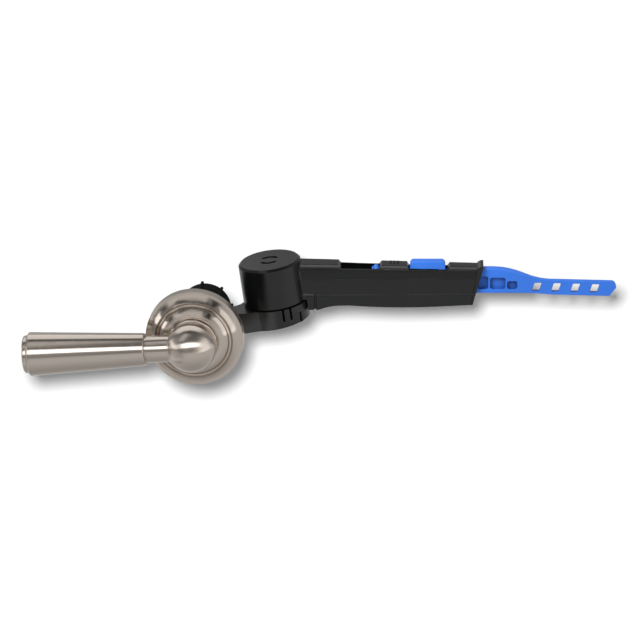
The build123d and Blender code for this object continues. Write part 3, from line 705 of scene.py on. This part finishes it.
mouldings = (  # node, piece, edge radius, smallest face eased in square mm, reshaping, finish, body, slot
    ("crank", "crankMoulding", 0.3, 0, None, black, "lever", "black_plastic"),
    ("swivel_arm", "swivelArm", 0.2, 1.6, reshapeArm, black, "arm", "black_plastic"),
    ("extension_bar", "extensionBar", 0.22, 0, None, blue, "extension", "blue_plastic"),
    ("latch_button", "latchButton", 0.3, 0, lowerFoot, blue, "latch", "blue_plastic"),
)
for node, piece, radius, smallest, reshape, finish, body, slot in mouldings:
    addPiece(piece, easedCopy(node, radius, smallest, reshape), finish, body, node)
print("mouldings eased")


def startTree(name, sizes):  # geometry in and out, an input for each size and one for the finish
    tree = bpy.data.node_groups.new(name, "GeometryNodeTree")
    tree.interface.new_socket("Geometry", in_out="INPUT", socket_type="NodeSocketGeometry")
    for label, value in sizes.items():
        kind = "NodeSocketInt" if isinstance(value, int) else "NodeSocketFloat"
        tree.interface.new_socket(label, in_out="INPUT", socket_type=kind)
    tree.interface.new_socket("finish", in_out="INPUT", socket_type="NodeSocketMaterial")
    tree.interface.new_socket("Geometry", in_out="OUTPUT", socket_type="NodeSocketGeometry")
    return tree, addNode(tree.nodes, "NodeGroupInput")


def endTree(tree, start, grown):  # joined to what came in, made real, with its finish
    links = tree.links
    join = addNode(tree.nodes, "GeometryNodeJoinGeometry")
    links.new(start.outputs["Geometry"], join.inputs[0])
    links.new(grown, join.inputs[0])
    real = addNode(tree.nodes, "GeometryNodeRealizeInstances")
    links.new(join.outputs[0], real.inputs[0])
    coat = addNode(tree.nodes, "GeometryNodeSetMaterial")
    links.new(real.outputs[0], coat.inputs["Geometry"])
    links.new(start.outputs["finish"], coat.inputs["Material"])
    links.new(coat.outputs[0], addNode(tree.nodes, "NodeGroupOutput").inputs[0])


def growMesh(tree, mesh, sizes, finish):
    work = bpy.data.objects.new(tree.name + "Work", mesh)
    bpy.context.scene.collection.objects.link(work)
    grow = work.modifiers.new("grow", "NODES")
    grow.node_group = tree
    values = dict(sizes, finish=finish)
    for item in tree.interface.items_tree:
        if item.name in values:
            grow[item.identifier] = values[item.name]
    graph = bpy.context.evaluated_depsgraph_get()
    made = bpy.data.meshes.new_from_object(work.evaluated_get(graph))
    work.modifiers.remove(grow)
    bpy.data.objects.remove(work)
    sharpen(made)
    return made


# nut: turned body with a plain bore, grip ribs set round it
nutShape = dict(front=21.3, back=32.3, radius=10.6, bore=7.95, edge=0.6, frontEdge=0.25, backEdge=0.2,
                segments=96)
nutRibs = dict(ribs=8, reach=nutShape["radius"] * mm, height=2.0 * mm, width=1.2 * mm, rounding=0.4 * mm,
               front=21.35 * mm, back=31.7 * mm)


def ribTree(sizes):
    tree, start = startTree("gripRibs", sizes)
    nodeSet, links = tree.nodes, tree.links
    outline = addNode(nodeSet, "GeometryNodeCurvePrimitiveQuadrilateral")
    links.new(start.outputs["height"], outline.inputs["Width"])
    links.new(start.outputs["width"], outline.inputs["Height"])
    soft = addNode(nodeSet, "GeometryNodeFilletCurve", mode="POLY")
    soft.inputs["Count"].default_value = 4
    links.new(outline.outputs[0], soft.inputs["Curve"])
    links.new(start.outputs["rounding"], soft.inputs["Radius"])
    path = addNode(nodeSet, "GeometryNodeCurvePrimitiveLine")
    for end, socket in (("front", "Start"), ("back", "End")):
        place = addNode(nodeSet, "ShaderNodeCombineXYZ")
        links.new(start.outputs["reach"], place.inputs["X"])
        links.new(start.outputs[end], place.inputs["Y"])
        links.new(place.outputs[0], path.inputs[socket])
    rib = addNode(nodeSet, "GeometryNodeCurveToMesh")
    rib.inputs["Fill Caps"].default_value = True
    links.new(path.outputs[0], rib.inputs["Curve"])
    links.new(soft.outputs[0], rib.inputs["Profile Curve"])
    points = addNode(nodeSet, "GeometryNodeMeshLine")
    points.inputs["Offset"].default_value = (0, 0, 0)
    links.new(start.outputs["ribs"], points.inputs["Count"])
    step = addNode(nodeSet, "ShaderNodeMath", operation="DIVIDE")
    step.inputs[0].default_value = 2 * pi
    links.new(start.outputs["ribs"], step.inputs[1])
    turn = addNode(nodeSet, "ShaderNodeMath", operation="MULTIPLY")
    links.new(addNode(nodeSet, "GeometryNodeInputIndex").outputs[0], turn.inputs[0])
    links.new(step.outputs[0], turn.inputs[1])
    about = addNode(nodeSet, "ShaderNodeCombineXYZ")
    links.new(turn.outputs[0], about.inputs["Y"])
    spun = addNode(nodeSet, "FunctionNodeEulerToRotation")
    links.new(about.outputs[0], spun.inputs[0])
    ring = addNode(nodeSet, "GeometryNodeInstanceOnPoints")
    links.new(points.outputs[0], ring.inputs["Points"])
    links.new(rib.outputs[0], ring.inputs["Instance"])
    links.new(spun.outputs[0], ring.inputs["Rotation"])
    endTree(tree, start, ring.outputs[0])
    return tree


def makeNut(shape, ribs):
    front, back, radius, bore = shape["front"], shape["back"], shape["radius"], shape["bore"]
    edge, soft = shape["edge"], shape["backEdge"]
    profile = roundCorners([(front, bore, 0), (front, radius, shape["frontEdge"]),
                            (back - edge, radius, soft), (back, radius - edge, soft), (back, bore, 0)])
    body = turnProfile(profile, (0, 0, 0), (0, 1, 0), shape["segments"], closed=True)
    return growMesh(ribTree(ribs), finishMesh(body, "nutBody"), ribs, dullBlack)


addPiece("mountingNut", makeNut(nutShape, nutRibs), dullBlack, "bushing", "mounting_nut")

# shank: boss, flange, square neck and a screw thread wound round the sleeve
shankShape = dict(bossFront=-8.9, bossRadius=8.6, bossEdge=0.3, flangeFront=-3.8, flangeRadius=14.0,
                  flangeBack=-0.4, flangeEdge=0.25, neckRadius=7.9, neckHalf=7.7, neckEnd=6.0,
                  coreRadius=7.35, end=32.6, chamfer=0.5, bore=4.05, slack=0.01, segments=96)
thread = dict(radius=shankShape["coreRadius"] * mm, start=7.2 * mm, length=24.4 * mm, turns=12.2,
              ridge=0.5 * mm)


def threadTree(sizes):
    tree, start = startTree("screwThread", sizes)
    nodeSet, links = tree.nodes, tree.links
    coil = addNode(nodeSet, "GeometryNodeCurveSpiral")
    coil.inputs["Resolution"].default_value = 48
    for size, socket in (("radius", "Start Radius"), ("radius", "End Radius"), ("length", "Height"),
                         ("turns", "Rotations")):
        links.new(start.outputs[size], coil.inputs[socket])
    upright = addNode(nodeSet, "GeometryNodeSetCurveNormal", mode="Z_UP")
    links.new(coil.outputs[0], upright.inputs["Curve"])
    ridge = addNode(nodeSet, "GeometryNodeCurvePrimitiveCircle")
    ridge.inputs["Resolution"].default_value = 4
    links.new(start.outputs["ridge"], ridge.inputs["Radius"])
    wound = addNode(nodeSet, "GeometryNodeCurveToMesh")
    wound.inputs["Fill Caps"].default_value = True
    links.new(upright.outputs[0], wound.inputs["Curve"])
    links.new(ridge.outputs[0], wound.inputs["Profile Curve"])
    place = addNode(nodeSet, "ShaderNodeCombineXYZ")
    links.new(start.outputs["start"], place.inputs["Y"])
    laid = addNode(nodeSet, "GeometryNodeTransform")
    laid.inputs["Rotation"].default_value = (-pi / 2, 0, 0)
    links.new(wound.outputs[0], laid.inputs["Geometry"])
    links.new(place.outputs[0], laid.inputs["Translation"])
    endTree(tree, start, laid.outputs[0])
    return tree


def makeShank(shape, wound):
    neck, core, bore = shape["neckRadius"], shape["coreRadius"], shape["bore"]
    end, chamfer = shape["end"], shape["chamfer"]
    boss, flange, soft = shape["bossRadius"], shape["flangeRadius"], shape["flangeEdge"]
    profile = roundCorners([
        (shape["bossFront"], bore, 0), (shape["bossFront"], boss, shape["bossEdge"]),
        (shape["flangeFront"], boss, 0), (shape["flangeFront"], flange, soft),
        (shape["flangeBack"], flange, soft), (shape["flangeBack"], neck, 0),
        (shape["neckEnd"], neck, 0), (shape["neckEnd"], core, 0),
        (end - chamfer, core, 0), (end, core - chamfer, 0), (end, bore, 0)])
    body = turnProfile(profile, (0, 0, 0), (0, 1, 0), shape["segments"], closed=True, seam=Vector((1, 0, 0)))
    for vert in body.verts:  # neck from round to square
        out = Vector((vert.co.x, vert.co.z)) / mm
        if abs(out.length - neck) < shape["slack"]:
            out *= max(1, shape["neckHalf"] / max(abs(out.x), abs(out.y)))
            vert.co.x, vert.co.z = out * mm
    return growMesh(threadTree(wound), finishMesh(body, "shankBody"), wound, dullBlack)


addPiece("threadedShank", makeShank(shankShape, thread), dullBlack, "bushing", "shank")
print("nut ribbed and shank threaded")


def dress(node, material):
    mesh = nodes[node].data
    mesh.materials.clear()
    mesh.materials.append(material)


dress("spindle", brass)
dress("crank_screw", zinc)

# soft boxes go last, because some of them light only some of the pieces
plate = bpy.data.objects["escutcheonPlate"]
crank = bpy.data.objects["crankMoulding"]
handle = bpy.data.objects["leverHandle"]
makeBoxes(softBoxes, {"all": lightGroup("allPieces", [floor], "EXCLUDE"),
                      "allButPlate": lightGroup("allButPlate", [floor, plate], "EXCLUDE"),
                      "plate": lightGroup("plateOnly", [plate], "INCLUDE"),
                      "crank": lightGroup("crankOnly", [crank], "INCLUDE"),
                      "handle": lightGroup("handleOnly", [handle], "INCLUDE")})
print("boxes set")
